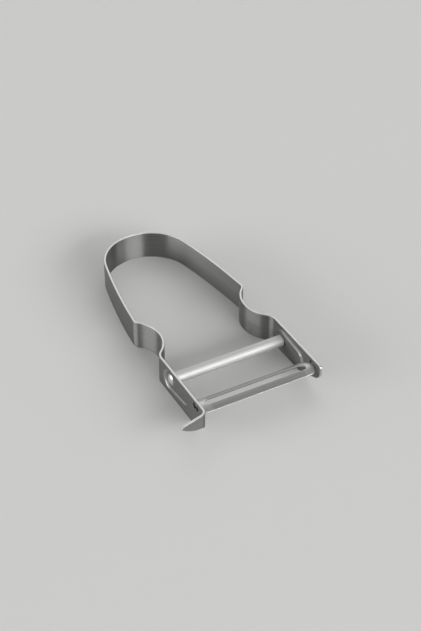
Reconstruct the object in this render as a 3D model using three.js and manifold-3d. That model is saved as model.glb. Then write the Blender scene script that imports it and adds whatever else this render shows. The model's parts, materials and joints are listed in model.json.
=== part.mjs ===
// Vegetable peeler: one bent steel strip, a crossbar and a swivelling slotted blade.
// Millimetres, +Z up. It lies flat on the strip's lower edge, blade towards -Y, grip loop towards +Y.
// While the pieces are drawn, Y = 0 is the blade's pivot line and X = 0 is midway between the arms.

import * as THREE from 'three';
import { mergeVertices } from 'three/addons/utils/BufferGeometryUtils.js';
import Module from 'manifold-3d';

// Strip
const stripHeight = 13;
const stripThickness = 1;
const armGap = 51.5; // between the inner faces of the two arms
const armNose = 5.8; // radius of the right arm's round end, about the pivot
const armTopCorner = 1.2; // radius of that end's upper corner
const noseRelief = 10; // from the pivot back to where the right arm's lower edge starts to rise
const gougeRelief = 3.7; // the same on the left arm

// Finger notches, where the strip dips in behind the arms
const notchBehindBar = 21.4; // from the crossbar back to the narrowest place
const notchRadius = 14.1;
const notchDepth = 6.35;
const notchFrontBend = 4.4;
const notchBackBend = 3.4;

// Grip loop
const loopBehindNotch = 67.2; // from the narrowest place to the back of the loop
const loopRadius = 19.5;
const sideRadius = 290; // slight bulge of the loop's sides
const shoulderInset = 0.9; // how far the sides start inside the arms' line

// Eye gouge, the bent and pointed end of the left arm
const gougeAhead = 4.9; // from the pivot forward to the start of the bend
const gougeBendRadius = 3;
const gougeBendAngle = 76; // degrees, out of the arm's line
const gougeLength = 10.3; // flat length beyond the bend
const gougeRootWidth = 6.5; // strip left below the top edge where the bend ends
const gougeTipWidth = 1;
const gougeTipRadius = 0.6;
const gougeEdgeRadius = 20; // curve of the lower edge

// Crossbar, a tube held by one long rivet
const barBehind = 22.1; // from the pivot back to its axis
const barAboveMiddle = 0.6; // axis above the middle of the strip's height
const barDiameter = 4.9;
const barEase = 0.25; // chamfer of the tube's ends
const barSeatGap = 0.05; // each end of the tube to its boss
const barBoreGap = 0.15; // rivet to the tube's bore
const rivetDiameter = 2.8;
const rivetHoleGap = 0.1; // rivet to its hole in the arm
const rivetHeadOverhang = 0.9;
const rivetHeadHeight = 0.85;
const rivetSeatGap = 0.05; // head to the floor of the boss's hollow

// Pressed bosses, raised on the inside of each arm and hollow outside
const bossRise = 0.75;
const bossSlope = 0.75; // run of the sloping rim
const bossBackRadius = 4.3; // half way up the rim, round the crossbar
const bossFrontRadius = 3;
const bossDrop = 0.4; // middle of the boss below the crossbar's axis
const bossBladeGap = 2.5; // from the blade's rear edge back to the rim

// Blade
const pivotBelowTop = 2.7; // pivot line below the strip's top edge
const bladeSwing = 30; // degrees each way
const bladeThickness = 0.7;
const bladeWidth = 8.5;
const bladeArchRadius = 7.1; // to the middle of the sheet
const bladeEndGap = 0.4; // each end to the arm
const bladeCorner = 2.2;
const slotWidth = 2.85;
const slotEndLand = 2.7; // solid sheet left at each end
const grindEndLand = 1.95; // slot edge left unground at each end
const grindWidth = 0.5; // slope along each slot edge
const tabWidth = 3.2;
const tabSetback = 0.1; // tab's end below the arm's outer face
const pivotGap = 0.2; // tab to its hole

// Fineness of round shapes
const bendStep = THREE.MathUtils.degToRad(7.5);
const longestStep = 4;
const leastStep = 0.02;
const cornerSteps = 6;
const edgeSteps = 8;
const roundSides = 40;
const shapeSteps = 14;
const cutOver = 1; // how far a cutter runs past what it cuts
const samePoint = 1e-5; // vertices nearer than this are one

const wasm = await Module();
wasm.setup();

const radians = THREE.MathUtils.degToRad;
const halfSheet = stripThickness / 2;
const armInner = armGap / 2;
const armLine = armInner + halfSheet;
const armOuter = armInner + stripThickness;
const pivotHeight = stripHeight - pivotBelowTop;
const barHeight = stripHeight / 2 + barAboveMiddle;
const notchY = barBehind + notchBehindBar;
const rivetRadius = rivetDiameter / 2;
const gougeBend = gougeBendRadius * radians(gougeBendAngle); // length of strip in the bend

// Fall of the arched sheet from its crown at a distance from the blade's middle line.
const archFall = (aside) => bladeArchRadius - Math.sqrt(bladeArchRadius ** 2 - aside ** 2);
const crownHeight = archFall(tabWidth / 2) / 2; // crown above the pivot line, so that the tab is centred

function solid(geometry) {
  const bare = geometry.clone();
  bare.deleteAttribute('normal');
  bare.deleteAttribute('uv');
  const merged = mergeVertices(bare, samePoint);
  const vertProperties = new Float32Array(merged.attributes.position.array);
  const triVerts = new Uint32Array(merged.index.array);
  return new wasm.Manifold(new wasm.Mesh({ numProp: 3, vertProperties, triVerts }));
}

function faceted(body) {
  const mesh = body.getMesh();
  const geometry = new THREE.BufferGeometry();
  geometry.setAttribute('position', new THREE.BufferAttribute(mesh.vertProperties, 3));
  geometry.setIndex(new THREE.BufferAttribute(mesh.triVerts, 1));
  return geometry;
}

// The point where two circles meet, on the left of the line from the first centre to the second.
function circlesMeet(first, firstRadius, second, secondRadius) {
  const line = second.clone().sub(first);
  const apart = line.length();
  const along = (apart ** 2 + firstRadius ** 2 - secondRadius ** 2) / (2 * apart);
  const aside = Math.sqrt(firstRadius ** 2 - along ** 2);
  const unit = line.divideScalar(apart);
  const left = new THREE.Vector2(-unit.y, unit.x);
  return first.clone().addScaledVector(unit, along).addScaledVector(left, aside);
}

function bearing(from, to) {
  return Math.atan2(to.y - from.y, to.x - from.x);
}

// Bends of the right half, from the arm to the loop, each touching the next.
function halfBends() {
  const notch = new THREE.Vector2(armLine - notchDepth + notchRadius, notchY);
  const frontX = armLine - notchFrontBend;
  const frontReach = notchRadius + notchFrontBend;
  const frontY = notchY - Math.sqrt(frontReach ** 2 - (notch.x - frontX) ** 2);
  const front = new THREE.Vector2(frontX, frontY);
  const notchHalf = Math.sqrt(notchRadius ** 2 - (notch.x - armLine) ** 2);
  const shoulder = new THREE.Vector2(armLine - shoulderInset, notchY + notchHalf);
  const loop = new THREE.Vector2(0, notchY + loopBehindNotch - loopRadius);
  const side = circlesMeet(shoulder, sideRadius, loop, sideRadius - loopRadius);
  const back = circlesMeet(side, sideRadius - notchBackBend, notch, notchRadius + notchBackBend);
  const arc = (centre, radius, from, to, right) => ({ centre, radius, from, to, right });
  const bends = [
    arc(front, notchFrontBend, 0, bearing(front, notch), false),
    arc(notch, notchRadius, bearing(notch, front), bearing(notch, back), true),
    arc(back, notchBackBend, bearing(back, notch), bearing(side, back), false),
    arc(side, sideRadius, bearing(side, back), bearing(side, loop), false),
  ];
  return { bends, loop, loopStart: bearing(side, loop) };
}

// Middle line of the strip seen from above, from the right arm's end round to the gouge's tip.
function stripLine() {
  const { bends, loop, loopStart } = halfBends();
  const line = new THREE.Path();
  line.moveTo(armLine, -armNose);
  line.lineTo(armLine, bends[0].centre.y);
  for (const { centre, radius, from, to, right } of bends) {
    line.absarc(centre.x, centre.y, radius, from, to, right);
  }
  line.absarc(loop.x, loop.y, loopRadius, loopStart, Math.PI - loopStart, false);
  for (const { centre, radius, from, to, right } of bends.reverse()) {
    line.absarc(-centre.x, centre.y, radius, Math.PI - to, Math.PI - from, right);
  }
  const turn = radians(gougeBendAngle);
  line.lineTo(-armLine, -gougeAhead);
  line.absarc(-armLine - gougeBendRadius, -gougeAhead, gougeBendRadius, 0, -turn, true);
  const root = line.currentPoint.clone();
  line.lineTo(root.x - gougeLength * Math.sin(turn), root.y - gougeLength * Math.cos(turn));
  return line;
}

// Rise of a rounded corner at a distance from the end that it rounds.
function cornerRise(distance, radius) {
  if (distance >= radius) return 0;
  return radius - Math.sqrt(radius ** 2 - (radius - distance) ** 2);
}

// Lower edge of the right arm, by distance from its end: a round nose, then a slant that meets it.
function noseLow(distance) {
  const place = distance - armNose;
  const apart = Math.hypot(noseRelief, pivotHeight);
  const slant = Math.PI - Math.atan2(pivotHeight, -noseRelief) - Math.asin(armNose / apart);
  const reach = Math.sqrt(apart ** 2 - armNose ** 2);
  if (place >= noseRelief) return 0;
  if (place >= noseRelief - reach * Math.cos(slant)) return Math.tan(slant) * (noseRelief - place);
  return pivotHeight - Math.sqrt(Math.max(0, armNose ** 2 - place ** 2));
}

// Lower edge of the gouge and of the slanted cut behind it, by distance from the tip.
function gougeLow(distance) {
  const tip = new THREE.Vector2(0, stripHeight - gougeTipWidth);
  const root = new THREE.Vector2(gougeLength, stripHeight - gougeRootWidth);
  if (distance <= gougeLength) {
    const centre = circlesMeet(tip, gougeEdgeRadius, root, gougeEdgeRadius);
    return centre.y - Math.sqrt(gougeEdgeRadius ** 2 - (distance - centre.x) ** 2);
  }
  const slant = gougeBend + gougeAhead + gougeRelief;
  return Math.max(0, root.y * (1 - (distance - gougeLength) / slant));
}

// Distances along the strip at which its section is set out.
function stripMarks(line, length) {
  const marks = [];
  let start = 0;
  for (const curve of line.curves) {
    const span = curve.getLength();
    const parts = Math.max(span / curve.xRadius / bendStep, span / longestStep);
    const steps = curve.isEllipseCurve ? Math.ceil(parts) : 1;
    for (let k = 0; k <= steps; k += 1) marks.push(start + span * k / steps);
    start += span;
  }
  for (let k = 1; k <= cornerSteps; k += 1) {
    const share = 1 - Math.cos(Math.PI / 2 * k / cornerSteps);
    marks.push(armTopCorner * share, armNose * share, length - gougeTipRadius * share);
  }
  for (let k = 1; k <= edgeSteps; k += 1) marks.push(length - gougeLength * k / edgeSteps);
  marks.push(armNose + noseRelief, length - gougeLength - gougeBend - gougeAhead - gougeRelief);
  marks.sort((one, other) => one - other);
  return marks.filter((mark, k) => k === 0 || mark - marks[k - 1] > leastStep);
}

// The bare strip: a flat section carried along its line, with its ends cut to shape.
function bentStrip() {
  const line = stripLine();
  const length = line.getLength();
  const marks = stripMarks(line, length);
  const positions = [];
  const index = [];
  for (const mark of marks) {
    const share = Math.min(1, mark / length);
    const point = line.getPoint(share);
    const heading = line.getTangent(share);
    const out = new THREE.Vector2(heading.y, -heading.x).multiplyScalar(halfSheet);
    const fromTip = Math.max(0, length - mark);
    const low = Math.max(noseLow(mark), gougeLow(fromTip));
    const high = stripHeight - cornerRise(mark, armTopCorner) - cornerRise(fromTip, gougeTipRadius);
    const outer = point.clone().add(out);
    const inner = point.clone().sub(out);
    positions.push(outer.x, outer.y, low, outer.x, outer.y, high);
    positions.push(inner.x, inner.y, high, inner.x, inner.y, low);
  }
  const quad = (a, b, c, d) => index.push(a, b, c, a, c, d);
  const last = 4 * (marks.length - 1);
  for (let base = 0; base < last; base += 4) {
    for (let k = 0; k < 4; k += 1) {
      const next = (k + 1) % 4;
      quad(base + k, base + 4 + k, base + 4 + next, base + next);
    }
  }
  quad(0, 1, 2, 3);
  quad(last + 3, last + 2, last + 1, last);
  const geometry = new THREE.BufferGeometry();
  geometry.setAttribute('position', new THREE.Float32BufferAttribute(positions, 3));
  geometry.setIndex(index);
  return geometry;
}

// Turns a shape drawn in Y and Z into a solid that runs along X from a given start.
function alongX(shape, start, options) {
  const settings = { curveSegments: shapeSteps, bevelEnabled: false, ...options };
  const turn = new THREE.Matrix4().set(0, 0, 1, start, 1, 0, 0, 0, 0, 1, 0, 0, 0, 0, 0, 1);
  return new THREE.ExtrudeGeometry(shape, settings).applyMatrix4(turn);
}

// Teardrop outline of a boss at its narrow level, round the crossbar at the back.
function bossShape() {
  const back = bossBackRadius - bossSlope / 2;
  const front = bossFrontRadius - bossSlope / 2;
  const frontY = bladeWidth / 2 + bossBladeGap + front + bossSlope;
  const middle = barHeight - bossDrop;
  const lean = Math.acos((front - back) / (barBehind - frontY));
  const shape = new THREE.Shape();
  shape.absarc(barBehind, middle, back, -lean, lean, false);
  shape.absarc(frontY, middle, front, lean, 2 * Math.PI - lean, false);
  return shape;
}

// A boss, or the hollow behind it: narrow at both ends along X, and full size half a sheet deep between.
function bossBody(start) {
  const rim = { bevelEnabled: true, bevelThickness: bossRise, bevelSize: bossSlope, bevelSegments: 1 };
  return solid(alongX(bossShape(), start + bossRise, { depth: halfSheet, ...rim }));
}

// Bow-tie hole that lets a tab turn by the blade's swing each way.
function pivotHoleShape() {
  const swing = radians(bladeSwing);
  const offset = bladeThickness / 2 + crownHeight + pivotGap;
  const waist = offset / Math.cos(swing);
  const radius = Math.hypot(tabWidth / 2, offset) + pivotGap;
  const corner = swing + Math.asin(offset / radius);
  const shape = new THREE.Shape();
  shape.moveTo(0, pivotHeight - waist);
  shape.absarc(0, pivotHeight, radius, -corner, corner, false);
  shape.lineTo(0, pivotHeight + waist);
  shape.absarc(0, pivotHeight, radius, Math.PI - corner, Math.PI + corner, false);
  return shape;
}

function rivetHoleShape() {
  const shape = new THREE.Shape();
  shape.absarc(barBehind, barHeight, rivetRadius + rivetHoleGap, 0, 2 * Math.PI, false);
  return shape;
}

function handleStrip() {
  const through = { depth: stripThickness + bossRise + 2 * cutOver };
  let body = solid(bentStrip());
  body = body.add(bossBody(armInner - bossRise));
  body = body.add(bossBody(-armLine - bossRise));
  body = body.subtract(bossBody(armOuter - bossRise));
  body = body.subtract(bossBody(-armOuter - halfSheet - bossRise));
  for (const start of [armInner - bossRise - cutOver, -armOuter - cutOver]) {
    body = body.subtract(solid(alongX(rivetHoleShape(), start, through)));
    body = body.subtract(solid(alongX(pivotHoleShape(), start, through)));
  }
  return faceted(body);
}

// A turned piece about the X axis, from a profile of radius and place along X.
function turned(profile) {
  const points = profile.map(([radius, place]) => new THREE.Vector2(radius, place));
  return new THREE.LatheGeometry(points, roundSides).rotateZ(-Math.PI / 2);
}

function crossbarTube() {
  const half = armInner - bossRise - barSeatGap;
  const outer = barDiameter / 2;
  const bore = rivetRadius + barBoreGap;
  return turned([
    [bore, -half],
    [outer - barEase, -half],
    [outer, -half + barEase],
    [outer, half - barEase],
    [outer - barEase, half],
    [bore, half],
    [bore, -half],
  ]);
}

function crossbarRivet() {
  const seat = armOuter - bossRise + rivetSeatGap;
  const head = rivetRadius + rivetHeadOverhang;
  const domeRadius = (head ** 2 + rivetHeadHeight ** 2) / (2 * rivetHeadHeight);
  const domeAngle = Math.asin(head / domeRadius);
  const dome = [];
  for (let k = cornerSteps; k >= 0; k -= 1) {
    const angle = domeAngle * k / cornerSteps;
    dome.push([domeRadius * Math.sin(angle), seat + rivetHeadHeight - domeRadius * (1 - Math.cos(angle))]);
  }
  const farDome = dome.map(([radius, place]) => [radius, -place]).reverse();
  return turned([...farDome, [rivetRadius, -seat], [rivetRadius, seat], ...dome]);
}

// Section of the blade across its width, about the pivot line.
function bladeSection() {
  const reach = Math.asin(bladeWidth / 2 / bladeArchRadius);
  const centre = crownHeight - bladeArchRadius;
  const upper = bladeArchRadius + bladeThickness / 2;
  const lower = bladeArchRadius - bladeThickness / 2;
  const shape = new THREE.Shape();
  shape.absarc(0, centre, upper, Math.PI / 2 - reach, Math.PI / 2 + reach, false);
  shape.absarc(0, centre, lower, Math.PI / 2 + reach, Math.PI / 2 - reach, true);
  return shape;
}

// Outline of the blade seen from above, with a tab at each end.
function bladeOutline(half, tabEnd) {
  const halfWide = bladeWidth / 2;
  const halfTab = tabWidth / 2;
  const corner = Math.min(bladeCorner, halfWide - halfTab - leastStep);
  const shape = new THREE.Shape();
  for (const end of [1, -1]) {
    const turn = end > 0 ? 0 : Math.PI;
    const x = end * (half - corner);
    const y = end * (halfWide - corner);
    shape.absarc(x, -y, corner, turn - Math.PI / 2, turn, false);
    shape.lineTo(end * half, -end * halfTab);
    shape.lineTo(end * tabEnd, -end * halfTab);
    shape.lineTo(end * tabEnd, end * halfTab);
    shape.lineTo(end * half, end * halfTab);
    shape.absarc(x, y, corner, turn, turn + Math.PI / 2, false);
  }
  return shape;
}

function slotShape(halfSlot) {
  const end = halfSlot - slotWidth / 2;
  const shape = new THREE.Shape();
  shape.absarc(end, 0, slotWidth / 2, -Math.PI / 2, Math.PI / 2, false);
  shape.absarc(-end, 0, slotWidth / 2, Math.PI / 2, 3 * Math.PI / 2, false);
  return shape;
}

// Slopes ground from below, which leave the slot's long edges sharp on the blade's upper side.
function grindShape() {
  const edge = slotWidth / 2;
  const high = crownHeight - archFall(edge) + bladeThickness / 2;
  const low = high - 2 * bladeThickness;
  const wide = edge + 2 * grindWidth;
  const shape = new THREE.Shape();
  shape.moveTo(-wide, low);
  shape.lineTo(wide, low);
  shape.lineTo(edge, high);
  shape.lineTo(-edge, high);
  return shape;
}

function swivelBlade() {
  const half = armInner - bladeEndGap;
  const tabEnd = armOuter - tabSetback;
  const halfSlot = half - slotEndLand;
  const halfGrind = halfSlot - grindEndLand;
  const tall = bladeArchRadius + cutOver;
  const upright = { depth: 2 * tall, curveSegments: shapeSteps, bevelEnabled: false };
  const outline = new THREE.ExtrudeGeometry(bladeOutline(half, tabEnd), upright).translate(0, 0, -tall);
  const slot = new THREE.ExtrudeGeometry(slotShape(halfSlot), upright).translate(0, 0, -tall);
  const grind = alongX(grindShape(), -halfGrind, { depth: 2 * halfGrind });
  const sheet = solid(alongX(bladeSection(), -tabEnd, { depth: 2 * tabEnd }));
  return faceted(sheet.intersect(solid(outline)).subtract(solid(slot)).subtract(solid(grind)));
}

function piece(name, geometry, color, roughness) {
  const material = new THREE.MeshStandardMaterial({ color, roughness, metalness: 1 });
  const mesh = new THREE.Mesh(geometry, material);
  mesh.name = name;
  return mesh;
}

const handle = piece('handle_strip', handleStrip(), 0xa8a8a4, 0.3);
const tube = piece('crossbar_tube', crossbarTube(), 0xd2d2ce, 0.35);
const rivet = piece('crossbar_rivet', crossbarRivet(), 0xc4c4c0, 0.25);
const blade = piece('swivel_blade', swivelBlade(), 0xb0b0ac, 0.35);

const crossbar = new THREE.Group();
crossbar.position.set(0, barBehind, barHeight);
crossbar.add(tube, rivet);
blade.position.set(0, 0, pivotHeight);

// The origin is under the middle of the peeler's box, on the surface that it lies on.
const peeler = new THREE.Group();
peeler.add(handle, crossbar, blade);
const box = new THREE.Box3().setFromObject(peeler);
const middle = box.getCenter(new THREE.Vector3());
peeler.position.set(-middle.x, -middle.y, -box.min.z);

const part = new THREE.Group();
part.add(peeler);

export default part;
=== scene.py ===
import json
import math

import bmesh
import bpy
from mathutils import Matrix, Vector


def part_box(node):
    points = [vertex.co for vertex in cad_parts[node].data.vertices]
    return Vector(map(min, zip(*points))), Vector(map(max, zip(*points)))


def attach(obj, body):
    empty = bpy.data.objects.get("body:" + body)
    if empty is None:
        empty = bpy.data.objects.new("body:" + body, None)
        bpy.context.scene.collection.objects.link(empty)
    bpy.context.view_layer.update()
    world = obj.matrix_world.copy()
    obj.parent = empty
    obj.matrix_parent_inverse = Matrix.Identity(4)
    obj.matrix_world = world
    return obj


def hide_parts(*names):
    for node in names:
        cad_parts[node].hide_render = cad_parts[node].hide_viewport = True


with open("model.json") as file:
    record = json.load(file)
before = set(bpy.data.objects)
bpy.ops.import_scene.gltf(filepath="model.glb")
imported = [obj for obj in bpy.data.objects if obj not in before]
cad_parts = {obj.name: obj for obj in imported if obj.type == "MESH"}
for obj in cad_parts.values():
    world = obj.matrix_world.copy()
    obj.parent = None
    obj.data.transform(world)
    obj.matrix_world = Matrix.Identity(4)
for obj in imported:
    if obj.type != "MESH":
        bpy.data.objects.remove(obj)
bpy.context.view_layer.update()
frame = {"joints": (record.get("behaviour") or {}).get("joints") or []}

bl_info = {
    "name": "One-strip peeler",
    "version": (1, 0, 0),
    "blender": (4, 5, 0),
    "location": "View3D > Sidebar > Peeler",
    "description": "Models and finishes a one-strip vegetable peeler around its solids",
    "category": "Object",
}

MM = 0.001

# Boxes and places of the solids, in metres
STRIP_LOW, STRIP_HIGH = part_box("handle_strip")
TUBE_LOW, TUBE_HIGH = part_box("crossbar_tube")
RIVET_LOW, RIVET_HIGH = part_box("crossbar_rivet")
BLADE_LOW, BLADE_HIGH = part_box("swivel_blade")
BAR_AXIS = (TUBE_LOW + TUBE_HIGH) / 2
SWIVEL = frame["joints"][0]
PIVOT = Vector(SWIVEL["pos_m"])

# Fineness of the modelled surfaces
BEND_STEP = math.radians(4)
LONG_BEND_STEP = 3 * MM
SHORTEST_STEP = 0.12 * MM
SAME_POINT = 0.001 * MM
SHARP_ANGLE = math.radians(40)
LEAST_ARC_STEPS = 3
LEAST_BEND_STEPS = 2
RIM_STEPS = 6
ROUND_STEPS = 3
TURNED_STEPS = 72

# Grain of the steel per metre along X, Y and Z, small in the direction that its lines run
STRIP_GRAIN = (25, 25, 2600)
BAR_GRAIN = (20, 2400, 2400)
RIVET_GRAIN = (600, 600, 600)
BLADE_GRAIN = (30, 2200, 2200)
SMUDGE_GRAIN = (90, 90, 90)
WEAR_GRAIN = (400, 400, 400)
STREAK_SCALE = 0.45
LINE_DETAIL = 3
SOFT_DETAIL = 2

# How far the grain and the marks on a mesh change a finish
STREAK_SHARE = 0.6
GRAIN_TONE = 0.28
WEAR_TONE = 0.06
LINE_ROUGHNESS = 0.1
STREAK_ROUGHNESS = 0.14
SMUDGE_ROUGHNESS = 0.06
WEAR_ROUGHNESS = 0.08
GROUND_ROUGHNESS = 0.2
LINE_BUMP = 0.12
LINE_DEPTH = 0.02 * MM
# Share of the painted shade on the ends of the blade's tabs
TAB_END_SHADE = 0.85

# Where the blade's finish fades into that of its ends, from the end of the grind
END_FADE_START = -0.2 * MM
END_FADE_STOP = 0.5 * MM

# Each lamp's bearing and height in degrees, then its width and height per metre of its distance
LAMPS = {
    "back_lamp": (61, 38, 1.0, 0.6),
    "front_lamp": (-71, 21, 1.0, 0.3),
    "front_core": (-77, 21, 0.72, 0.3),
    "right_lamp": (-33, 21, 0.25, 0.3),
    "left_lamp": (172, 14, 1.2, 0.35),
    "side_lamp": (173.5, 12, 0.87, 0.35),
}
FLOOR_ROUGHNESS = 0.8
FLOOR_GLOSS = 0.2
NEAREST_VIEW = 0.01


def length(name, description, metres):
    """A size in metres that a user can change."""
    return bpy.props.FloatProperty(
        name=name, description=description, default=metres, min=0, unit="LENGTH", precision=5
    )


def angle(name, description, degrees):
    """An angle that a user can change."""
    return bpy.props.FloatProperty(
        name=name, description=description, default=math.radians(degrees), subtype="ANGLE"
    )


def share(name, description, value):
    """A share from none to all."""
    return bpy.props.FloatProperty(
        name=name, description=description, default=value, min=0, max=1, subtype="FACTOR"
    )


def colour(name, description, value):
    """A colour that a user can change."""
    return bpy.props.FloatVectorProperty(
        name=name, description=description, default=value, min=0, max=1, size=3, subtype="COLOR"
    )


def amount(name, description, value):
    """A lamp's brightness, or the strength of the even light."""
    return bpy.props.FloatProperty(name=name, description=description, default=value, min=0)


class PeelerStripSizes(bpy.types.PropertyGroup):
    """Sizes of the bent strip."""

    height: length("Height", "Width of the strip as it stands on edge", STRIP_HIGH.z - STRIP_LOW.z)
    thickness: length("Thickness", "Thickness of the strip", 1 * MM)
    edge_round: length("Edge round", "Rounding of the strip's polished edges", 0.27 * MM)
    arm_reach: length("Arm reach", "From the middle to an arm's outer face", STRIP_HIGH.x - PIVOT.x)
    arm_nose: length("Arm nose", "Radius of the right arm's round end", 5.8 * MM)
    nose_corner: length("Nose corner", "Radius of that end's upper corner", 1.2 * MM)
    nose_relief: length("Nose relief", "From the pivot to where that arm's lower edge rises", 10 * MM)
    gouge_relief: length("Gouge relief", "The same on the left arm", 3.7 * MM)
    notch_behind_bar: length("Notch behind bar", "From the crossbar to the narrowest place", 21.4 * MM)
    notch_radius: length("Notch radius", "Bend of each finger notch", 14.1 * MM)
    notch_depth: length("Notch depth", "How far each notch dips in", 6.35 * MM)
    notch_front_bend: length("Front bend", "Bend in front of each notch", 4.4 * MM)
    notch_back_bend: length("Back bend", "Bend behind each notch", 3.4 * MM)
    loop_back: length("Loop back", "From the pivot to the back of the loop", STRIP_HIGH.y - PIVOT.y)
    loop_radius: length("Loop radius", "Round back of the grip loop", 19.5 * MM)
    side_radius: length("Side radius", "Slight bulge of the loop's sides", 290 * MM)
    shoulder_inset: length("Shoulder inset", "How far the sides start inside the arms' line", 0.9 * MM)


class PeelerGougeSizes(bpy.types.PropertyGroup):
    """Sizes of the eye gouge at the left arm's end."""

    ahead: length("Ahead", "From the pivot to the start of the bend", 4.9 * MM)
    bend_radius: length("Bend radius", "Bend out of the arm's line", 3 * MM)
    bend_angle: angle("Bend angle", "Turn out of the arm's line", 76)
    flat_length: length("Flat length", "Length beyond the bend", 10.3 * MM)
    root_width: length("Root width", "Width where the bend ends", 6.5 * MM)
    tip_width: length("Tip width", "Width at the tip", 1 * MM)
    tip_radius: length("Tip radius", "Rounding of the tip", 0.6 * MM)
    edge_radius: length("Edge radius", "Curve of the lower edge", 20 * MM)


class PeelerBossSizes(bpy.types.PropertyGroup):
    """Sizes of the teardrop pressed into each arm, and of the holes."""

    rise: length("Rise", "How far the sheet is pressed in", 0.75 * MM)
    slope: length("Slope", "Run of the sloping rim", 0.75 * MM)
    back_radius: length("Back radius", "Round end at the crossbar", 4.3 * MM)
    front_radius: length("Front radius", "Round end towards the blade", 3 * MM)
    drop: length("Drop", "Middle of the boss below the crossbar's axis", 0.4 * MM)
    blade_gap: length("Blade gap", "From the blade's rear edge to the rim", 2.5 * MM)
    margin: length("Margin", "Flat sheet kept even around the boss and the pivot hole", 0.3 * MM)
    rivet_hole: length("Rivet hole", "Radius of the rivet's hole", 1.5 * MM)
    pivot_gap: length("Pivot gap", "Clearance of the blade's tab in its hole", 0.2 * MM)
    swing: angle("Swing", "Turn of the blade each way", SWIVEL["range_deg"][1])


class PeelerBarSizes(bpy.types.PropertyGroup):
    """Sizes of the crossbar's tube and rivet."""

    tube_diameter: length("Tube diameter", "Outside of the tube", TUBE_HIGH.z - TUBE_LOW.z)
    tube_length: length("Tube length", "Between the two bosses", TUBE_HIGH.x - TUBE_LOW.x)
    tube_bore: length("Tube bore", "Inside of the tube", 3.1 * MM)
    tube_end: length("Tube end", "Rounding of the tube's ends", 0.35 * MM)
    rivet_length: length("Rivet length", "Over both heads", RIVET_HIGH.x - RIVET_LOW.x)
    rivet_diameter: length("Rivet diameter", "Shank of the rivet", 2.8 * MM)
    head_diameter: length("Head diameter", "Across each domed head", RIVET_HIGH.z - RIVET_LOW.z)
    head_height: length("Head height", "Height of each domed head", 0.85 * MM)


class PeelerBladeSizes(bpy.types.PropertyGroup):
    """Sizes of the swivelling blade."""

    thickness: length("Thickness", "Thickness of the sheet", 0.7 * MM)
    width: length("Width", "Across the arch", BLADE_HIGH.y - BLADE_LOW.y)
    reach: length("Reach", "From the middle to a tab's end", (BLADE_HIGH.x - BLADE_LOW.x) / 2)
    half_length: length("Half length", "From the middle to the blade's shoulder", 25.35 * MM)
    arch_radius: length("Arch radius", "To the middle of the sheet", 7.1 * MM)
    corner: length("Corner", "Rounding of the blade's corners", 2.2 * MM)
    tab_width: length("Tab width", "Width of each pivot tab", 3.2 * MM)
    tab_fillet: length("Tab fillet", "Rounding where each tab meets the blade's end", 0.25 * MM)
    slot_width: length("Slot width", "Width of the slot", 2.85 * MM)
    slot_land: length("Slot land", "Sheet left beyond each end of the slot", 2.7 * MM)
    grind_land: length("Grind land", "Slot edge left unground at each end", 1.95 * MM)
    grind_width: length("Grind width", "Slope along each slot edge", 0.5 * MM)
    grind_run_out: length("Grind run-out", "Where the ground slope fades at its ends", 0.6 * MM)
    cutting_edge: length("Cutting edge", "Sheet left at the ground edge", 0.12 * MM)
    edge_round: length("Edge round", "Rounding of the other edges", 0.16 * MM)


class PeelerFinish(bpy.types.PropertyGroup):
    """Colours and polish of the steel."""

    strip_colour: colour("Strip colour", "Steel of the strip", (0.26, 0.26, 0.253))
    # Polish and a painted highlight on the edges and the bosses' rims
    polish_highlight_colour: colour("Edge colour", "Polished edges of the strip", (0.54, 0.54, 0.53))
    bar_colour: colour("Bar colour", "Bright satin steel of the crossbar", (0.64, 0.64, 0.63))
    rivet_colour: colour("Rivet colour", "Polished heads of the rivet", (0.80, 0.80, 0.79))
    blade_colour: colour("Blade colour", "Satin steel of the blade", (0.42, 0.42, 0.41))
    blade_end_colour: colour("Blade end colour", "Unground ends of the blade", (0.52, 0.52, 0.507))
    # A ground finish, and painted shade of the slot's opening
    ground_and_shade_colour: colour("Ground colour", "Ground slopes of the slot", (0.26, 0.26, 0.253))
    # Painted shade in the pivot holes and on the ends of the tabs
    pivot_shade_colour: colour("Pivot colour", "Dull pivot holes and ends of the tabs", (0.05, 0.05, 0.048))
    strip_roughness: share("Strip roughness", "Polish of the strip", 0.42)
    edge_roughness: share("Edge roughness", "Polish of the edges", 0.3)
    bar_roughness: share("Bar roughness", "Polish of the crossbar", 0.66)
    rivet_roughness: share("Rivet roughness", "Polish of the rivet's heads", 0.2)
    blade_roughness: share("Blade roughness", "Polish of the blade", 0.4)


class PeelerStage(bpy.types.PropertyGroup):
    """Floor, lamps and camera."""

    floor_colour: colour("Floor colour", "Plain pale floor", (0.68, 0.68, 0.67))
    floor_size: length("Floor size", "Side of the floor", 40)
    lamp_distance: length("Lamp distance", "From the peeler to each lamp", 8)
    sky: amount("Sky", "Strength of the even light all round", 0.4)
    back_lamp: amount("Back lamp", "Brightness of the high lamp behind, on the right", 1.0)
    front_lamp: amount("Front lamp", "Brightness of the wide lamp in front, on the right", 4)
    front_core: amount("Front core", "Brightness of the narrower lamp over the front one", 5.5)
    right_lamp: amount("Right lamp", "Brightness of the small lamp on the right", 4)
    left_lamp: amount("Left lamp", "Brightness of the wide low lamp on the left", 2)
    side_lamp: amount("Side lamp", "Brightness of the narrower lamp over the left one", 3)
    camera_place: bpy.props.FloatVectorProperty(
        name="Camera place",
        description="Where the camera stands",
        default=(-0.210272, -0.404048, 0.372156),
        size=3,
        subtype="TRANSLATION",
        unit="LENGTH",
    )
    azimuth: angle("Azimuth", "Turn of the camera about the vertical", -28.948)
    elevation: angle("Elevation", "Height of the camera above the horizon", 38.327)
    roll: angle("Roll", "Tilt of the camera about its view", 0.263)
    lens: bpy.props.FloatProperty(name="Lens", description="Focal length", default=80.5, unit="CAMERA")


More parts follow.
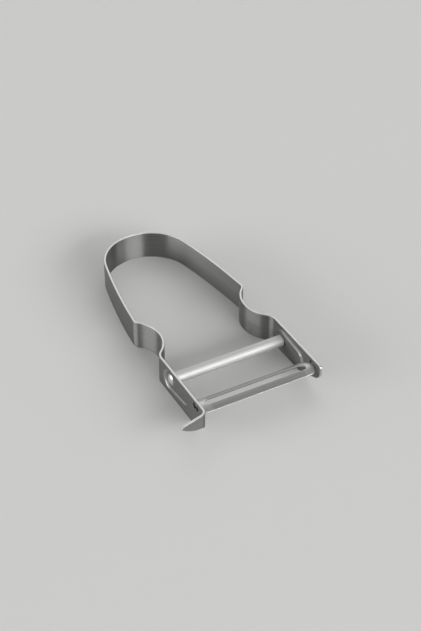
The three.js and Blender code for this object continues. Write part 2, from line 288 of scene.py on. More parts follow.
# Drawing with bmesh operators
class Pen:
    """Draws a closed outline of lines and arcs on the XY plane."""

    def __init__(self, bm, start):
        self.bm = bm
        self.first = bm.verts.new((*start, 0))
        self.tip = self.first

    def line(self, point):
        """Goes straight to a point."""
        made = bmesh.ops.extrude_vert_indiv(self.bm, verts=[self.tip])
        self.tip = made["verts"][0]
        self.tip.co = (*point, 0)

    def arc(self, centre, turn):
        """Goes round a centre by an angle."""
        span = abs(turn) * math.dist(centre, self.tip.co.xy)
        fine_steps = min(math.ceil(abs(turn) / BEND_STEP), math.floor(span / SHORTEST_STEP))
        made = bmesh.ops.spin(
            self.bm,
            geom=[self.tip],
            cent=(*centre, 0),
            axis=(0, 0, 1),
            dvec=(0, 0, 0),
            angle=turn,
            steps=max(LEAST_ARC_STEPS, fine_steps),
        )
        self.tip = made["geom_last"][0]

    def close(self):
        """Joins the last point to the first."""
        if (self.tip.co - self.first.co).length > SAME_POINT:
            self.bm.edges.new((self.tip, self.first))
        bmesh.ops.remove_doubles(self.bm, verts=[self.tip, self.first], dist=SAME_POINT)


def polar(centre, radius, turn):
    """A point on a circle."""
    return Vector((centre[0] + radius * math.cos(turn), centre[1] + radius * math.sin(turn)))


def bearing(start, end):
    """Direction from one point to another, as an angle."""
    return math.atan2(end.y - start.y, end.x - start.x)


def circles_meet(first, first_radius, second, second_radius):
    """The point where two circles meet, left of the line from the first centre to the second."""
    line = second - first
    apart = line.length
    along = (apart**2 + first_radius**2 - second_radius**2) / (2 * apart)
    aside = math.sqrt(first_radius**2 - along**2)
    unit = line / apart
    return first + unit * along + Vector((-unit.y, unit.x)) * aside


def fill(bm, edges):
    """Fills the flat region between closed outlines."""
    bmesh.ops.triangle_fill(bm, use_beauty=True, use_dissolve=False, edges=edges, normal=(0, 0, 1))


def add_to(target, piece, matrix):
    """Places a drawn piece, adds it to a larger mesh and frees it."""
    bmesh.ops.transform(piece, matrix=matrix, verts=piece.verts)
    carrier = bpy.data.meshes.new("carrier")
    piece.to_mesh(carrier)
    piece.free()
    target.from_mesh(carrier)
    bpy.data.meshes.remove(carrier)


def thicken(bm, thickness):
    """Gives a middle surface its thickness, half to each side, and returns the faces along its rims."""
    bmesh.ops.remove_doubles(bm, verts=bm.verts, dist=SAME_POINT)
    bmesh.ops.recalc_face_normals(bm, faces=bm.faces)
    bm.normal_update()
    moves = [(vert, vert.normal * vert.calc_shell_factor() * thickness / 2) for vert in bm.verts]
    for vert, move in moves:
        vert.co += move
    one_side = set(bm.verts)
    bmesh.ops.solidify(bm, geom=bm.faces[:], thickness=thickness)
    return [face for face in bm.faces if 0 < len(one_side.intersection(face.verts)) < len(face.verts)]


def sharp_edges(bm):
    """Edges where two faces meet at a sharp angle."""
    return [edge for edge in bm.edges if edge.is_manifold and edge.calc_face_angle() > SHARP_ANGLE]


def mark_layer(bm, name):
    """The layer that holds a mark, made where it isn't there yet."""
    return bm.loops.layers.float.get(name) or bm.loops.layers.float.new(name)


def mark_faces(bm, faces, name, strength=1):
    """Marks faces for a finish of their own."""
    layer = mark_layer(bm, name)
    for face in faces:
        for loop in face.loops:
            loop[layer] = strength


def round_edges(bm, edges, offset):
    """Rounds edges and returns the new faces."""
    made = bmesh.ops.bevel(
        bm,
        geom=edges,
        offset=offset,
        offset_type="OFFSET",
        affect="EDGES",
        segments=ROUND_STEPS,
        profile=0.5,
        clamp_overlap=False,
        material=-1,
        face_strength_mode="AFFECTED",
    )
    return made["faces"]


def make_object(context, bm, name, material, body, node):
    """Turns a finished mesh into a piece that stands for its solid."""
    mesh = bpy.data.meshes.new(name)
    bm.to_mesh(mesh)
    bm.free()
    mesh.shade_smooth()
    mesh.set_sharp_from_angle(angle=SHARP_ANGLE)
    mesh.materials.append(material)
    piece = bpy.data.objects.new(name, mesh)
    context.collection.objects.link(piece)
    shading = piece.modifiers.new("Even shading", "WEIGHTED_NORMAL")
    shading.keep_sharp = True
    shading.use_face_influence = True
    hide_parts(node)
    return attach(piece, body)


# Shader nodes written as expressions
class Value:
    """One output of a shader node, with arithmetic that adds Math nodes."""

    def __init__(self, shader, socket):
        self.shader = shader
        self.socket = socket

    def math(self, operation, first, second):
        """Adds a Math node for two values or numbers."""
        return self.shader.node("ShaderNodeMath", {"operation": operation}, {0: first, 1: second})

    def __add__(self, other):
        return self.math("ADD", self, other)

    def __radd__(self, other):
        return self.math("ADD", other, self)

    def __sub__(self, other):
        return self.math("SUBTRACT", self, other)

    def __rsub__(self, other):
        return self.math("SUBTRACT", other, self)

    def __mul__(self, other):
        return self.math("MULTIPLY", self, other)

    def __rmul__(self, other):
        return self.math("MULTIPLY", other, self)


class Steel:
    """One steel finish and the nodes that make it."""

    def __init__(self, name):
        self.material = bpy.data.materials.new(name)
        self.material.use_nodes = True
        self.tree = self.material.node_tree
        self.surface = self.tree.nodes["Principled BSDF"]
        self.surface.inputs["Metallic"].default_value = 1

    def node(self, kind, settings, sockets, output=0):
        """Adds a node: its settings first, then the values or links of its sockets."""
        made = self.tree.nodes.new(kind)
        for key, value in settings.items():
            setattr(made, key, value)
        for key, value in sockets.items():
            self.feed(made.inputs[key], value)
        return Value(self, made.outputs[output])

    def feed(self, socket, value):
        """Links a value to a socket, or sets a number, a vector or an opaque colour there."""
        if isinstance(value, Value):
            self.tree.links.new(value.socket, socket)
        elif socket.type == "RGBA":
            socket.default_value = (*value, 1)
        else:
            socket.default_value = value

    def set(self, name, value):
        """Sets or links one socket of the surface."""
        self.feed(self.surface.inputs[name], value)

    def place(self):
        """Where a point is on the piece."""
        return self.node("ShaderNodeTexCoord", {}, {}, "Object")

    def noise(self, grain, detail):
        """Noise of a grain per metre along X, Y and Z."""
        sockets = {"Vector": self.place(), "Scale": grain}
        stretched = self.node("ShaderNodeMapping", {"vector_type": "POINT"}, sockets)
        return self.node("ShaderNodeTexNoise", {}, {"Vector": stretched, "Scale": 1, "Detail": detail})

    def mix(self, factor, first, second):
        """Blends two colours, which are sockets 6 and 7 of a Mix node, and its output 2."""
        sockets = {0: factor, 6: first, 7: second}
        return self.node("ShaderNodeMix", {"data_type": "RGBA"}, sockets, 2)

    def mark(self, name):
        """A number stored on the mesh."""
        return self.node("ShaderNodeAttribute", {"attribute_name": name}, {}, "Fac")


def scaled(value, factor):
    """A colour made lighter or darker."""
    return tuple(factor * part for part in value)


def brushed(name, value, roughness, grain):
    """Steel with fine polishing lines, broader streaks along them and faint smudges."""
    steel = Steel(name)
    lines = steel.noise(grain, LINE_DETAIL)
    streaks = steel.noise(scaled(grain, STREAK_SCALE), SOFT_DETAIL)
    smudges = steel.noise(SMUDGE_GRAIN, SOFT_DETAIL)
    tone = (1 - STREAK_SHARE) * lines + STREAK_SHARE * streaks
    base = steel.mix(tone, scaled(value, 1 - GRAIN_TONE), scaled(value, 1 + GRAIN_TONE))
    least = roughness - (LINE_ROUGHNESS + STREAK_ROUGHNESS + SMUDGE_ROUGHNESS) / 2
    rough = least + LINE_ROUGHNESS * lines + STREAK_ROUGHNESS * streaks + SMUDGE_ROUGHNESS * smudges
    sockets = {"Strength": LINE_BUMP, "Distance": LINE_DEPTH, "Height": lines}
    steel.set("Normal", steel.node("ShaderNodeBump", {}, sockets))
    return steel, base, rough


def strip_steel(finish):
    """Polished strip with lines along its length, edges and boss rims lightened by polish and a painted
    highlight, and painted shade in the pivot holes.
    """
    steel, base, rough = brushed("strip_steel", finish.strip_colour, finish.strip_roughness, STRIP_GRAIN)
    # Painted shade darkens the pivot holes' walls
    steel.set("Base Color", steel.mix(steel.mark("painted_pivot_shade"), base, finish.pivot_shade_colour))
    steel.set("Roughness", rough)
    # Lines that run level spread the highlights up and down, for which the rotation is a quarter turn
    steel.set("Anisotropic", 1)
    steel.set("Anisotropic Rotation", 0.25)
    wear = steel.noise(WEAR_GRAIN, SOFT_DETAIL)
    dark = scaled(finish.polish_highlight_colour, 1 - WEAR_TONE)
    light = scaled(finish.polish_highlight_colour, 1 + WEAR_TONE)
    least = finish.edge_roughness - WEAR_ROUGHNESS / 2
    sockets = {
        "Base Color": steel.mix(wear, dark, light),
        "Metallic": 1,
        "Roughness": least + WEAR_ROUGHNESS * wear,
    }
    edge = steel.node("ShaderNodeBsdfPrincipled", {}, sockets)
    wall = Value(steel, steel.surface.outputs[0])
    # Edges and boss rims blend into the lighter edge shader: polish and a painted highlight
    whole = steel.node("ShaderNodeMixShader", {}, {0: steel.mark("polish_and_highlight"), 1: wall, 2: edge})
    steel.feed(steel.tree.nodes["Material Output"].inputs["Surface"], whole)
    return steel.material


def bar_steel(finish):
    """Bright satin tube with drawn lines along it."""
    steel, base, rough = brushed("bar_steel", finish.bar_colour, finish.bar_roughness, BAR_GRAIN)
    steel.set("Base Color", base)
    steel.set("Roughness", rough)
    return steel.material


def rivet_steel(finish):
    """Polished heads of the rivet."""
    steel, base, rough = brushed("rivet_steel", finish.rivet_colour, finish.rivet_roughness, RIVET_GRAIN)
    steel.set("Base Color", base)
    steel.set("Roughness", rough)
    return steel.material


def blade_steel(finish, blade):
    """Satin blade, brighter at its unground ends, with edges lightened by polish and a painted highlight,
    ground slopes darkened partly as painted shade of the slot, and painted shade on the ends of its tabs.
    """
    steel, base, rough = brushed("blade_steel", finish.blade_colour, finish.blade_roughness, BLADE_GRAIN)
    along = steel.node("ShaderNodeSeparateXYZ", {}, {"Vector": steel.place()}, "X")
    from_middle = steel.node("ShaderNodeMath", {"operation": "ABSOLUTE"}, {0: along - PIVOT.x})
    sockets = {
        "Value": from_middle,
        "From Min": ground_reach(blade) + END_FADE_START,
        "From Max": ground_reach(blade) + END_FADE_STOP,
    }
    end = steel.node("ShaderNodeMapRange", {"interpolation_type": "SMOOTHSTEP"}, sockets)
    ground = steel.mark("ground")
    tone = steel.mix(end, base, finish.blade_end_colour)
    # Lighter edges: polish and a painted highlight
    tone = steel.mix(steel.mark("polish_and_highlight"), tone, finish.polish_highlight_colour)
    # Darker ground slopes: a ground finish and painted shade of the slot's opening
    tone = steel.mix(ground, tone, finish.ground_and_shade_colour)
    # Painted shade on the ends of the tabs
    steel.set("Base Color", steel.mix(steel.mark("painted_pivot_shade"), tone, finish.pivot_shade_colour))
    steel.set("Roughness", rough + GROUND_ROUGHNESS * ground)
    return steel.material


# The strip
def arm_line(strip):
    """From the middle of the peeler to the middle of an arm's sheet."""
    return strip.arm_reach - strip.thickness / 2


def half_bends(strip):
    """Where the right arm ends, and the bends from there to the loop's back, each a centre and a turn."""
    line = arm_line(strip)
    notch_y = BAR_AXIS.y - PIVOT.y + strip.notch_behind_bar
    notch = Vector((line - strip.notch_depth + strip.notch_radius, notch_y))
    front_x = line - strip.notch_front_bend
    reach = strip.notch_radius + strip.notch_front_bend
    front = Vector((front_x, notch_y - math.sqrt(reach**2 - (notch.x - front_x) ** 2)))
    notch_half = math.sqrt(strip.notch_radius**2 - (notch.x - line) ** 2)
    shoulder = Vector((line - strip.shoulder_inset, notch_y + notch_half))
    loop = Vector((0, strip.loop_back - strip.thickness / 2 - strip.loop_radius))
    side = circles_meet(shoulder, strip.side_radius, loop, strip.side_radius - strip.loop_radius)
    back_reach = strip.notch_radius + strip.notch_back_bend
    back = circles_meet(side, strip.side_radius - strip.notch_back_bend, notch, back_reach)
    full = 2 * math.pi
    return front.y, [
        (front, bearing(front, notch) % full),
        (notch, -((bearing(notch, front) - bearing(notch, back)) % full)),
        (back, (bearing(side, back) - bearing(back, notch)) % full),
        (side, (bearing(side, loop) - bearing(side, back)) % full),
        (loop, math.pi / 2 - bearing(side, loop)),
    ]


def bend_edge(bm, edge, centre, turn):
    """Carries the strip's end edge round a bend and returns the new end."""
    middle = (edge.verts[0].co + edge.verts[1].co) / 2
    span = abs(turn) * (middle.xy - centre).length
    steps = max(LEAST_BEND_STEPS, math.ceil(abs(turn) / BEND_STEP), math.ceil(span / LONG_BEND_STEP))
    made = bmesh.ops.spin(
        bm,
        geom=[edge, *edge.verts],
        cent=(*centre, 0),
        axis=(0, 0, 1),
        dvec=(0, 0, 0),
        angle=turn,
        steps=steps,
    )
    return next(item for item in made["geom_last"] if isinstance(item, bmesh.types.BMEdge))


def grip_ribbon(strip):
    """Middle surface of the notches and the grip loop."""
    bm = bmesh.new()
    line = arm_line(strip)
    start, bends = half_bends(strip)
    foot = bm.verts.new((line, start, 0))
    head = bm.verts.new((line, start, strip.height))
    edge = bm.edges.new((foot, head))
    for centre, turn in bends:
        edge = bend_edge(bm, edge, centre, turn)
    everything = bm.verts[:] + bm.edges[:] + bm.faces[:]
    bmesh.ops.mirror(bm, geom=everything, matrix=Matrix(), merge_dist=SAME_POINT, axis="X")
    return bm


def draw_boss(bm, boss, blade):
    """Outline of the flat margin round the teardrop boss, in the plane of its arm."""
    back = Vector((BAR_AXIS.y - PIVOT.y, BAR_AXIS.z - boss.drop))
    narrow = boss.front_radius - boss.slope / 2
    front = Vector((blade.width / 2 + boss.blade_gap + narrow + boss.slope, back.y))
    lean = math.acos((boss.front_radius - boss.back_radius) / (back.x - front.x))
    back_radius = boss.back_radius + boss.slope / 2 + boss.margin
    front_radius = boss.front_radius + boss.slope / 2 + boss.margin
    pen = Pen(bm, polar(back, back_radius, -lean))
    pen.arc(back, 2 * lean)
    pen.line(polar(front, front_radius, lean))
    pen.arc(front, 2 * math.pi - 2 * lean)
    pen.close()


def tab_crown(blade):
    """How far the middle of a tab rises over its pivot line, as the tab is arched like the blade."""
    half_tab = blade.tab_width / 2
    return (blade.arch_radius - math.sqrt(blade.arch_radius**2 - half_tab**2)) / 2


def pivot_hole_size(boss, blade):
    """Half height of the bow-tie hole at rest, and its radius."""
    offset = blade.thickness / 2 + tab_crown(blade) + boss.pivot_gap
    return offset, math.hypot(blade.tab_width / 2, offset) + boss.pivot_gap


def draw_pivot_hole(bm, boss, blade):
    """Bow-tie hole that lets the blade's tab swing."""
    middle = Vector((0, PIVOT.z))
    offset, radius = pivot_hole_size(boss, blade)
    waist = offset / math.cos(boss.swing)
    corner = boss.swing + math.asin(offset / radius)
    pen = Pen(bm, middle - Vector((0, waist)))
    pen.line(polar(middle, radius, -corner))
    pen.arc(middle, 2 * corner)
    pen.line(middle + Vector((0, waist)))
    pen.line(polar(middle, radius, math.pi - corner))
    pen.arc(middle, 2 * corner)
    pen.close()


def draw_round_arm(bm, strip, back):
    """Outline of the right arm: a round nose over a slanted lower edge."""
    pivot = Vector((0, PIVOT.z))
    apart = math.hypot(strip.nose_relief, pivot.y)
    reach = math.sqrt(apart**2 - strip.arm_nose**2)
    slant = math.pi - math.atan2(pivot.y, -strip.nose_relief) - math.asin(strip.arm_nose / apart)
    touch = Vector((strip.nose_relief - reach * math.cos(slant), reach * math.sin(slant)))
    corner = Vector((strip.nose_corner - strip.arm_nose, strip.height - strip.nose_corner))
    pen = Pen(bm, (back, 0))
    pen.line((strip.nose_relief, 0))
    pen.line(touch)
    pen.arc(pivot, math.pi - bearing(pivot, touch) - 2 * math.pi)
    pen.line((-strip.arm_nose, corner.y))
    pen.arc(corner, -math.pi / 2)
    pen.line((back, strip.height))
    pen.close()


def gouge_slant(strip, gouge):
    """Height of the lower edge where the gouge's bend starts and where it ends."""
    bend = gouge.bend_radius * gouge.bend_angle
    root = strip.height - gouge.root_width
    rising = gouge.ahead + strip.gouge_relief
    return root * rising / (bend + rising), root


def draw_gouge_arm(bm, strip, gouge, back):
    """Outline of the left arm, up to the gouge's bend."""
    low, _ = gouge_slant(strip, gouge)
    pen = Pen(bm, (back, 0))
    pen.line((strip.gouge_relief, 0))
    pen.line((-gouge.ahead, low))
    pen.line((-gouge.ahead, strip.height))
    pen.line((back, strip.height))
    pen.close()


def eased(place):
    """A smooth step from 0 to 1."""
    return place**2 * (3 - 2 * place)


def pressed_boss(boss, blade):
    """A boss pressed out of the arm's plane, with a painted highlight along its rim and the rivet's hole
    in its floor.
    """
    bm = bmesh.new()
    draw_boss(bm, boss, blade)
    floor = bmesh.ops.contextual_create(bm, geom=bm.edges[:])["faces"][0]
    floor.normal_update()
    if floor.normal.z < 0:
        floor.normal_flip()
    heights = [boss.rise * eased(step / RIM_STEPS) for step in range(RIM_STEPS + 1)]
    rings = [(boss.margin, 0)]
    for low, high in zip(heights, heights[1:]):
        rings.append((boss.slope / RIM_STEPS, high - low))
    for run, climb in rings:
        bmesh.ops.inset_region(
            bm, faces=[floor], thickness=run, depth=climb, use_boundary=True, use_even_offset=True
        )
    rim = floor.edges[:]
    bmesh.ops.delete(bm, geom=[floor], context="FACES_ONLY")
    hole = Matrix.Translation((BAR_AXIS.y - PIVOT.y, BAR_AXIS.z, boss.rise))
    bmesh.ops.create_circle(bm, segments=TURNED_STEPS, radius=boss.rivet_hole, matrix=hole)
    fill(bm, rim + [edge for edge in bm.edges if edge.is_wire])
    # A painted highlight: full half way up the rim, and none on the sheet and on the boss's floor
    layer = mark_layer(bm, "polish_and_highlight")
    for face in bm.faces:
        for loop in face.loops:
            place = loop.vert.co.z / boss.rise
            loop[layer] = 4 * place * (1 - place)
    return bm


def draw_collar(bm, boss, blade):
    """Circle round the pivot hole."""
    _, radius = pivot_hole_size(boss, blade)
    middle = Matrix.Translation((0, PIVOT.z, 0))
    bmesh.ops.create_circle(bm, segments=TURNED_STEPS, radius=radius + boss.margin, matrix=middle)


def pivot_collar(boss, blade):
    """Flat ring of the arm round the pivot hole, which keeps the arm's shading even."""
    bm = bmesh.new()
    draw_collar(bm, boss, blade)
    draw_pivot_hole(bm, boss, blade)
    fill(bm, bm.edges[:])
    return bm


def arm_plate(draw_outline, boss, blade):
    """One arm's flat sheet with its two holes, and its boss pressed towards +Z."""
    bm = bmesh.new()
    draw_outline(bm)
    draw_boss(bm, boss, blade)
    draw_collar(bm, boss, blade)
    fill(bm, bm.edges[:])
    add_to(bm, pivot_collar(boss, blade), Matrix())
    add_to(bm, pressed_boss(boss, blade), Matrix())
    return bm


def on_pivot_hole(part, boss, blade):
    """Whether an edge or face of the strip is on the rim of a pivot hole."""
    _, radius = pivot_hole_size(boss, blade)
    near = radius + boss.margin / 2
    return all(math.hypot(vert.co.y, vert.co.z - PIVOT.z) < near for vert in part.verts)


def gouge_sheet(strip, gouge):
    """Middle surface of the gouge: its bend, and its pointed flat end."""
    bm = bmesh.new()
    line = arm_line(strip)
    centre = Vector((-line - gouge.bend_radius, -gouge.ahead))
    low, root = gouge_slant(strip, gouge)
    foot = bm.verts.new((-line, -gouge.ahead, low))
    head = bm.verts.new((-line, -gouge.ahead, strip.height))
    bend_edge(bm, bm.edges.new((foot, head)), centre, -gouge.bend_angle)
    for vert in bm.verts:
        if vert.co.z < strip.height - SAME_POINT:
            vert.co.z += (root - low) * -bearing(centre, vert.co.xy) / gouge.bend_angle
    blank = bmesh.new()
    draw_gouge(blank, strip, gouge)
    fill(blank, blank.edges[:])
    upright = Matrix(((0, 0, 1, -line), (1, 0, 0, 0), (0, 1, 0, 0), (0, 0, 0, 1)))
    pivot = Matrix.Translation((*centre, 0))
    turn = pivot @ Matrix.Rotation(-gouge.bend_angle, 4, "Z") @ pivot.inverted()
    add_to(bm, blank, turn @ upright)
    return bm


def draw_gouge(bm, strip, gouge):
    """Outline of the gouge's flat end, drawn straight on from the arm."""
    start = -gouge.ahead
    tip = start - gouge.flat_length
    low_root = Vector((start, strip.height - gouge.root_width))
    low_tip = Vector((tip, strip.height - gouge.tip_width))
    centre = circles_meet(low_tip, gouge.edge_radius, low_root, gouge.edge_radius)
    round_tip = Vector((tip + gouge.tip_radius, strip.height - gouge.tip_radius))
    pen = Pen(bm, low_root)
    pen.arc(centre, bearing(centre, low_tip) - bearing(centre, low_root))
    pen.line((tip, round_tip.y))
    pen.arc(round_tip, -math.pi / 2)
    pen.line((start, strip.height))
    pen.close()


class PEELER_OT_bend_strip(bpy.types.Operator):
    """Bend the strip: the grip loop, the notches, both arms and the eye gouge"""

    bl_idname = "peeler.bend_strip"
    bl_label = "Bend strip"

    def execute(self, context):
        scene = context.scene
        strip = scene.peeler_strip
        gouge = scene.peeler_gouge
        boss = scene.peeler_boss
        blade = scene.peeler_blade
        back, _ = half_bends(strip)
        line = arm_line(strip)
        sheet = grip_ribbon(strip)
        outlines = {
            1: lambda bm: draw_round_arm(bm, strip, back),
            -1: lambda bm: draw_gouge_arm(bm, strip, gouge, back),
        }
        for side, outline in outlines.items():
            inward = Matrix(((0, 0, -side, side * line), (1, 0, 0, 0), (0, 1, 0, 0), (0, 0, 0, 1)))
            add_to(sheet, arm_plate(outline, boss, blade), inward)
        add_to(sheet, gouge_sheet(strip, gouge), Matrix())
        rim = thicken(sheet, strip.thickness)
        # Painted shade on the pivot holes' walls
        mark_faces(sheet, [face for face in rim if on_pivot_hole(face, boss, blade)], "painted_pivot_shade")
        # The strip's rims other than the pivot holes: polish and a painted highlight
        mark_faces(sheet, [face for face in rim if not on_pivot_hole(face, boss, blade)], "polish_and_highlight")
        edges = sharp_edges(sheet)
        hole = [edge for edge in edges if on_pivot_hole(edge, boss, blade)]
        others = [edge for edge in edges if not on_pivot_hole(edge, boss, blade)]
        round_edges(sheet, hole, strip.edge_round / 2)
        # The rounded edges: polish and a painted highlight
        mark_faces(sheet, round_edges(sheet, others, strip.edge_round), "polish_and_highlight")
        bmesh.ops.translate(sheet, vec=(PIVOT.x, PIVOT.y, 0), verts=sheet.verts)
        material = strip_steel(scene.peeler_finish)
        make_object(context, sheet, "bent_strip", material, "frame", "handle_strip")
        return {"FINISHED"}


# The crossbar
def turned(draw_profile):
    """A piece turned about the X axis from a closed profile."""
    bm = bmesh.new()
    draw_profile(bm)
    bmesh.ops.spin(
        bm,
        geom=bm.verts[:] + bm.edges[:],
        cent=(0, 0, 0),
        axis=(1, 0, 0),
        dvec=(0, 0, 0),
        angle=2 * math.pi,
        steps=TURNED_STEPS,
        use_merge=True,
    )
    bmesh.ops.remove_doubles(bm, verts=bm.verts, dist=SAME_POINT)
    bmesh.ops.recalc_face_normals(bm, faces=bm.faces)
    bmesh.ops.translate(bm, vec=BAR_AXIS, verts=bm.verts)
    return bm


def draw_tube(bm, bar):
    """Half section of the tube, with rounded ends."""
    half = bar.tube_length / 2
    outer = bar.tube_diameter / 2
    inner = bar.tube_bore / 2
    pen = Pen(bm, (-half, inner))
    pen.line((half, inner))
    pen.line((half, outer - bar.tube_end))
    pen.arc((half - bar.tube_end, outer - bar.tube_end), math.pi / 2)
    pen.line((-half + bar.tube_end, outer))
    pen.arc((-half + bar.tube_end, outer - bar.tube_end), math.pi / 2)
    pen.close()


def draw_rivet(bm, bar):
    """Half section of the rivet, with a domed head at each end."""
    half = bar.rivet_length / 2
    seat = half - bar.head_height
    head = bar.head_diameter / 2
    shank = bar.rivet_diameter / 2
    dome = (head**2 + bar.head_height**2) / (2 * bar.head_height)
    sweep = math.asin(head / dome)
    pen = Pen(bm, (half, 0))
    pen.arc((half - dome, 0), sweep)
    pen.line((seat, shank))
    pen.line((-seat, shank))
    pen.line((-seat, head))
    pen.arc((dome - half, 0), sweep)


class PEELER_OT_turn_tube(bpy.types.Operator):
    """Turn the crossbar's tube"""

    bl_idname = "peeler.turn_tube"
    bl_label = "Turn tube"

    def execute(self, context):
        scene = context.scene
        bm = turned(lambda profile: draw_tube(profile, scene.peeler_bar))
        material = bar_steel(scene.peeler_finish)
        make_object(context, bm, "crossbar", material, "frame", "crossbar_tube")
        return {"FINISHED"}


class PEELER_OT_head_rivet(bpy.types.Operator):
    """Make the rivet that holds the crossbar"""

    bl_idname = "peeler.head_rivet"
    bl_label = "Head rivet"

    def execute(self, context):
        scene = context.scene
        bm = turned(lambda profile: draw_rivet(profile, scene.peeler_bar))
        material = rivet_steel(scene.peeler_finish)
        make_object(context, bm, "rivet", material, "frame", "crossbar_rivet")
        return {"FINISHED"}


# The blade
def draw_half_blade(bm, blade):
    """Outline of the blade's front half seen from above: a tab at each end, and half of the slot."""
    half = blade.half_length
    wide = blade.width / 2
    corner = blade.corner
    tab = blade.tab_width / 2
    fillet = blade.tab_fillet
    slot = blade.slot_width / 2
    slot_end = half - blade.slot_land - slot
    quarter = math.pi / 2
    pen = Pen(bm, (-blade.reach, 0))
    pen.line((-blade.reach, -tab))
    pen.line((-half - fillet, -tab))
    pen.arc((-half - fillet, -tab - fillet), -quarter)
    pen.line((-half, corner - wide))
    pen.arc((corner - half, corner - wide), quarter)
    pen.line((half - corner, -wide))
    pen.arc((half - corner, corner - wide), quarter)
    pen.line((half, -tab - fillet))
    pen.arc((half + fillet, -tab - fillet), -quarter)
    pen.line((blade.reach, -tab))
    pen.line((blade.reach, 0))
    pen.line((slot_end + slot, 0))
    pen.arc((slot_end, 0), -quarter)
    pen.line((-slot_end, -slot))
    pen.arc((-slot_end, 0), -quarter)
    pen.close()


def flat_blade(blade):
    """The blade as a flat sheet, before it is arched."""
    bm = bmesh.new()
    draw_half_blade(bm, blade)
    bmesh.ops.contextual_create(bm, geom=bm.edges[:])
    everything = bm.verts[:] + bm.edges[:] + bm.faces[:]
    bmesh.ops.mirror(bm, geom=everything, matrix=Matrix(), merge_dist=SAME_POINT, axis="Y")
    thicken(bm, blade.thickness)
    return bm


def ground_reach(blade):
    """From the middle of the blade to where the slot's ground edges end."""
    return blade.half_length - blade.slot_land - blade.grind_land


def on_slot(vert, blade):
    """Whether a point of the flat blade is on the slot's edge."""
    inside = abs(vert.co.x) < blade.half_length - blade.slot_land + SAME_POINT
    return inside and abs(vert.co.y) < blade.slot_width / 2 + SAME_POINT


def cut_along(bm, axis, place):
    """Adds a line of edges across the sheet on each side of the middle, square to an axis."""
    for side in (1, -1):
        everything = bm.verts[:] + bm.edges[:] + bm.faces[:]
        point = axis * side * place
        bmesh.ops.bisect_plane(bm, geom=everything, plane_co=point, plane_no=axis, dist=SAME_POINT)


def cut_for_arch(bm, blade):
    """Cuts the flat blade along its length where it will arch, and across where the grind ends."""
    slot = blade.slot_width / 2
    tab = blade.tab_width / 2
    wide = blade.width / 2
    marks = [slot, slot + blade.grind_width]
    taken = [*marks, tab, tab - blade.edge_round, wide - blade.edge_round]
    top = blade.arch_radius + blade.thickness / 2
    reach = math.asin(wide / top)
    steps = math.ceil(reach / BEND_STEP)
    for step in range(1, steps):
        level = top * math.sin(reach * step / steps)
        if min(abs(level - place) for place in taken) > SHORTEST_STEP:
            marks.append(level)
    for level in marks:
        cut_along(bm, Vector((0, 1, 0)), level)
    cut_along(bm, Vector((1, 0, 0)), ground_reach(blade))
    cut_along(bm, Vector((1, 0, 0)), ground_reach(blade) + blade.grind_run_out)


def grind_slot(bm, blade):
    """Grinds the slot's long edges from below, so that they are left sharp on top."""
    reach = ground_reach(blade) + SAME_POINT
    rim = [vert for vert in bm.verts if on_slot(vert, blade)]
    raised = [vert for vert in rim if vert.co.z < 0 and abs(vert.co.x) < reach]
    bmesh.ops.translate(bm, vec=(0, 0, blade.thickness - blade.cutting_edge), verts=raised)
    touched = {face for vert in raised for face in vert.link_faces}
    slopes = [face for face in touched if not all(on_slot(vert, blade) for vert in face.verts)]
    mark_faces(bm, slopes, "ground")
    for vert in rim:
        vert.co.y *= (blade.arch_radius + blade.thickness / 2) / (blade.arch_radius + vert.co.z)


def arch_sheet(bm, blade):
    """Bends the flat blade to its arch, with its pivot line at the origin."""
    top = blade.arch_radius + blade.thickness / 2
    crown = tab_crown(blade)
    for vert in bm.verts:
        lean = math.asin(vert.co.y / top)
        out = blade.arch_radius + vert.co.z
        vert.co.y = out * math.sin(lean)
        vert.co.z = out * math.cos(lean) - blade.arch_radius + crown


class PEELER_OT_form_blade(bpy.types.Operator):
    """Form the slotted blade and grind its slot"""

    bl_idname = "peeler.form_blade"
    bl_label = "Form blade"

    def execute(self, context):
        scene = context.scene
        blade = scene.peeler_blade
        bm = flat_blade(blade)
        rim = [edge for edge in sharp_edges(bm) if not all(on_slot(vert, blade) for vert in edge.verts)]
        # The blade's rounded edges: polish and a painted highlight
        mark_faces(bm, round_edges(bm, rim, blade.edge_round), "polish_and_highlight")
        # Painted shade on the ends of the tabs, inside their holes
        tab_end = blade.reach - blade.edge_round - SAME_POINT
        ends = [face for face in bm.faces if all(abs(vert.co.x) > tab_end for vert in face.verts)]
        mark_faces(bm, ends, "painted_pivot_shade", TAB_END_SHADE)
        cut_for_arch(bm, blade)
        grind_slot(bm, blade)
        arch_sheet(bm, blade)
        bmesh.ops.translate(bm, vec=PIVOT, verts=bm.verts)
        material = blade_steel(scene.peeler_finish, blade)
        make_object(context, bm, "slotted_blade", material, "blade", "swivel_blade")
        return {"FINISHED"}


# The stage
def add_lamp(context, stage, name):
    """A soft lamp that looks at the peeler, and that the camera doesn't see."""
    bearing_deg, height_deg, width, height = LAMPS[name]
    light = bpy.data.lights.new(name, "AREA")
    light.shape = "RECTANGLE"
    light.size = width * stage.lamp_distance
    light.size_y = height * stage.lamp_distance
    light.energy = getattr(stage, name) * math.pi * light.size * light.size_y
    lamp = bpy.data.objects.new(name, light)
    turn = math.radians(bearing_deg)
    lift = math.radians(height_deg)
    place = Vector((math.cos(turn) * math.cos(lift), math.sin(turn) * math.cos(lift), math.sin(lift)))
    lamp.location = place * stage.lamp_distance
    lamp.rotation_euler = (-place).to_track_quat("-Z", "Y").to_euler()
    lamp.visible_camera = False
    context.collection.objects.link(lamp)


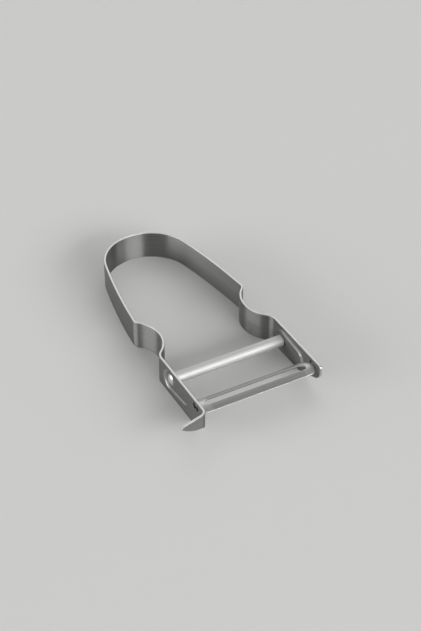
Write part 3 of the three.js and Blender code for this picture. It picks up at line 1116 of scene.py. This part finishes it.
def add_floor(context, stage):
    """A plain pale floor under the strip's lower edge."""
    bm = bmesh.new()
    bmesh.ops.create_grid(bm, x_segments=1, y_segments=1, size=stage.floor_size / 2)
    mesh = bpy.data.meshes.new("floor")
    bm.to_mesh(mesh)
    bm.free()
    material = bpy.data.materials.new("floor")
    material.use_nodes = True
    surface = material.node_tree.nodes["Principled BSDF"]
    surface.inputs["Base Color"].default_value = (*stage.floor_colour, 1)
    surface.inputs["Roughness"].default_value = FLOOR_ROUGHNESS
    surface.inputs["Specular IOR Level"].default_value = FLOOR_GLOSS
    mesh.materials.append(material)
    floor = bpy.data.objects.new("floor", mesh)
    context.collection.objects.link(floor)


def add_camera(context, stage):
    """A camera at the photograph's place."""
    lens = bpy.data.cameras.new("camera")
    lens.lens = stage.lens
    lens.clip_start = NEAREST_VIEW
    camera = bpy.data.objects.new("camera", lens)
    turn = Matrix.Rotation(stage.azimuth, 4, "Z")
    tilt = Matrix.Rotation(math.pi / 2 - stage.elevation, 4, "X")
    roll = Matrix.Rotation(stage.roll, 4, "Z")
    camera.matrix_world = Matrix.Translation(stage.camera_place) @ turn @ tilt @ roll
    context.collection.objects.link(camera)
    context.scene.camera = camera


def add_sky(context, stage):
    """Even white light all round."""
    world = bpy.data.worlds.new("even light")
    world.use_nodes = True
    sky = world.node_tree.nodes["Background"]
    sky.inputs["Color"].default_value = (1, 1, 1, 1)
    sky.inputs["Strength"].default_value = stage.sky
    context.scene.world = world


class PEELER_OT_set_stage(bpy.types.Operator):
    """Set the floor, the lamps, the even light and the camera"""

    bl_idname = "peeler.set_stage"
    bl_label = "Set stage"

    def execute(self, context):
        stage = context.scene.peeler_stage
        add_floor(context, stage)
        for name in LAMPS:
            add_lamp(context, stage, name)
        add_sky(context, stage)
        add_camera(context, stage)
        context.scene.view_settings.view_transform = "Standard"
        return {"FINISHED"}


class PEELER_PT_sidebar(bpy.types.Panel):
    """Steps and sizes of the peeler"""

    bl_idname = "PEELER_PT_sidebar"
    bl_label = "Peeler"
    bl_space_type = "VIEW_3D"
    bl_region_type = "UI"
    bl_category = "Peeler"

    def draw(self, context):
        layout = self.layout
        for operator in OPERATORS:
            layout.operator(operator.bl_idname)
        for name, group in GROUPS.items():
            box = layout.box()
            for key in group.__annotations__:
                box.prop(getattr(context.scene, name), key)


GROUPS = {
    "peeler_strip": PeelerStripSizes,
    "peeler_gouge": PeelerGougeSizes,
    "peeler_boss": PeelerBossSizes,
    "peeler_bar": PeelerBarSizes,
    "peeler_blade": PeelerBladeSizes,
    "peeler_finish": PeelerFinish,
    "peeler_stage": PeelerStage,
}
OPERATORS = (
    PEELER_OT_bend_strip,
    PEELER_OT_turn_tube,
    PEELER_OT_head_rivet,
    PEELER_OT_form_blade,
    PEELER_OT_set_stage,
)


def register():
    """Registers the classes and gives every scene the peeler's sizes."""
    for kind in (*GROUPS.values(), *OPERATORS, PEELER_PT_sidebar):
        bpy.utils.register_class(kind)
    for name, group in GROUPS.items():
        setattr(bpy.types.Scene, name, bpy.props.PointerProperty(type=group))


def unregister():
    """Takes the sizes and the classes away again."""
    for name in GROUPS:
        delattr(bpy.types.Scene, name)
    for kind in (PEELER_PT_sidebar, *OPERATORS, *GROUPS.values()):
        bpy.utils.unregister_class(kind)


def main():
    """Makes the peeler and its stage."""
    register()
    bpy.ops.peeler.bend_strip()
    bpy.ops.peeler.turn_tube()
    bpy.ops.peeler.head_rivet()
    bpy.ops.peeler.form_blade()
    bpy.ops.peeler.set_stage()


if __name__ == "__main__":
    main()
